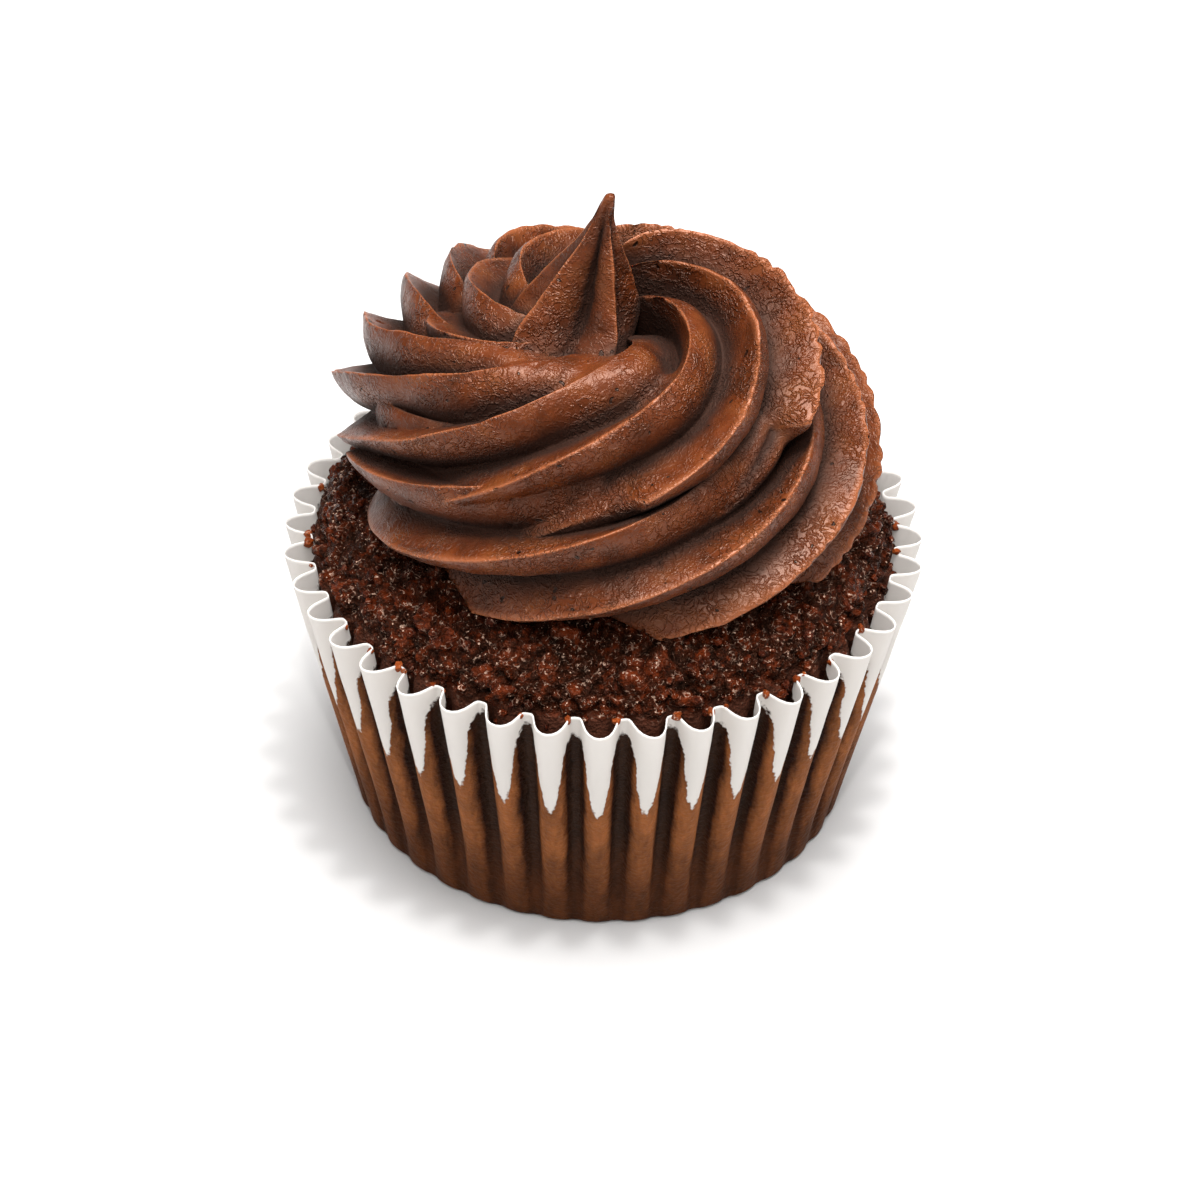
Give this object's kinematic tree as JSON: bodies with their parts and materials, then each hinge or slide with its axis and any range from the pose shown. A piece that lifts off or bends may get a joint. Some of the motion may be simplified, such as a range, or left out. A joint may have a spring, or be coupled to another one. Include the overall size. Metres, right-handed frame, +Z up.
{
  "type": "cupcake",
  "caption": "Chocolate cupcake in a pleated paper case, topped with a piped star-nozzle swirl of frosting that ends in a peak.",
  "frame": {"origin": "centre of the base, on the surface that the paper case stands on", "axes": "+Z up through the peak of the frosting, -Y towards the side that the picture shows, +X to the picture's right"},
  "size_m": [0.0658, 0.0658, 0.0716],
  "materials": {
    "paper_case": "white greaseproof paper, stained brown from inside by the cake",
    "cake": "dark, moist, crumbly chocolate sponge",
    "frosting": "satin chocolate buttercream"
  },
  "bodies": {
    "root": {"paper_case": "paper_case", "cake": "cake", "frosting": "frosting"}
  },
  "joints": []
}
